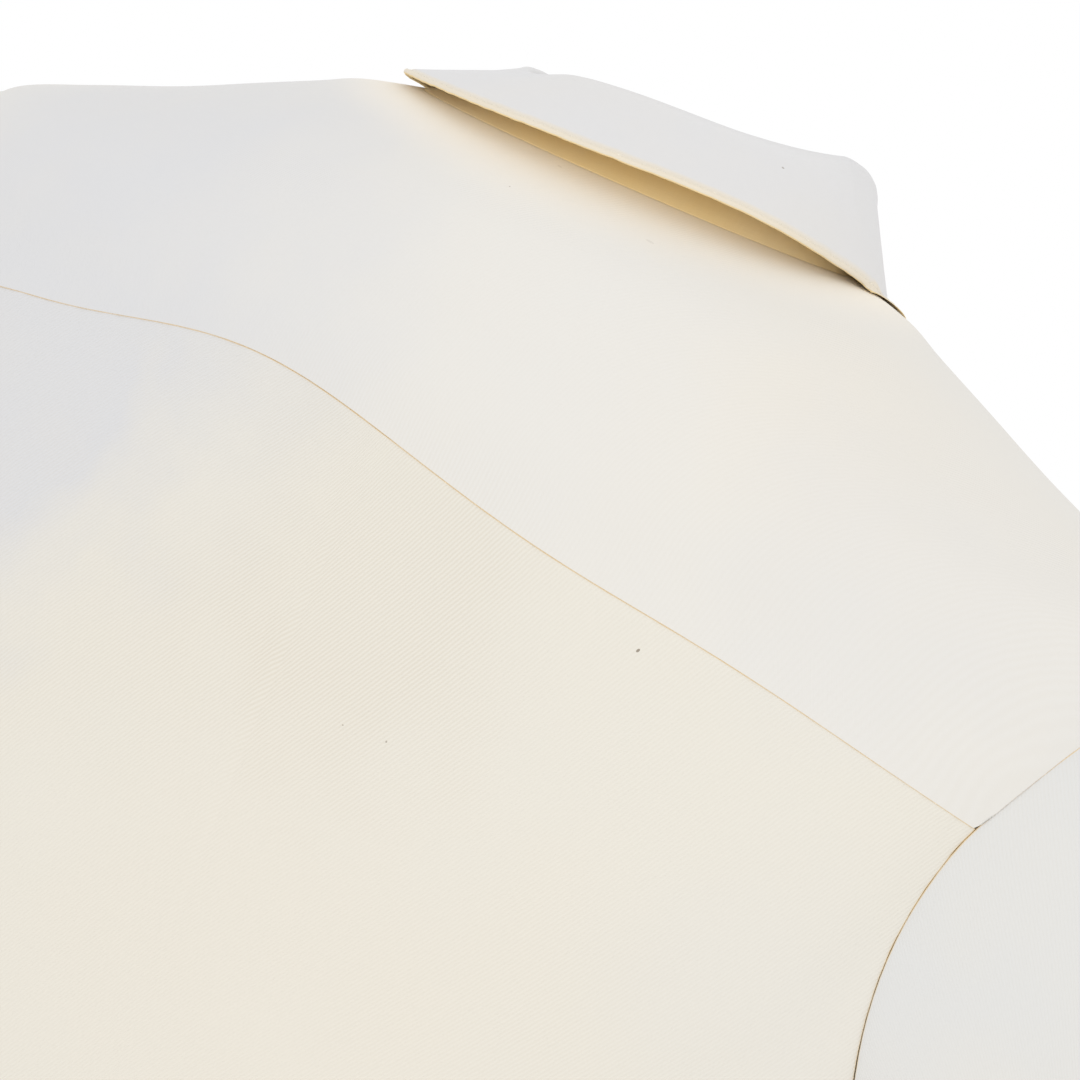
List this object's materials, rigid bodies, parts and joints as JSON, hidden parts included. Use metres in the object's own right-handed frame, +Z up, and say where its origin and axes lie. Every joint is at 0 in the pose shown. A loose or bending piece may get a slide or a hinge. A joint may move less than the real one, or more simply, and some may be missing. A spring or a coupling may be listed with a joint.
{
  "type": "button-up shirt",
  "caption": "Cream cotton drill button-up shirt with a shaped back yoke, stand collar and long cuffed sleeves, held filled out and hollow.",
  "frame": {"origin": "middle of the neck opening, level with the points where the collar crosses the two shoulders, where the wearer holds the shirt up", "axes": "+Z up along the wearer's body, -Y out of the buttoned front, +Y out of the back, +X towards the wearer's left"},
  "size_m": [0.779, 0.248, 0.8042],
  "materials": {
    "cotton_drill": "matte cream cotton drill with a fine right-hand twill",
    "button": "soft-gloss cream"
  },
  "bodies": {
    "root": {"back": "cotton_drill", "yoke": "cotton_drill", "front_left": "cotton_drill", "front_right": "cotton_drill", "front_band": "cotton_drill", "collar_stand": "cotton_drill", "collar_leaf": "cotton_drill", "sleeve_left": "cotton_drill", "sleeve_right": "cotton_drill", "cuff_left": "cotton_drill", "cuff_right": "cotton_drill", "sleeve_placket_left": "cotton_drill", "sleeve_placket_right": "cotton_drill", "button_front_1": "button", "button_front_2": "button", "button_front_3": "button", "button_front_4": "button", "button_front_5": "button", "button_front_6": "button", "button_front_7": "button", "button_collar": "button", "button_cuff_left": "button", "button_cuff_right": "button", "button_sleeve_left": "button", "button_sleeve_right": "button"}
  },
  "joints": []
}
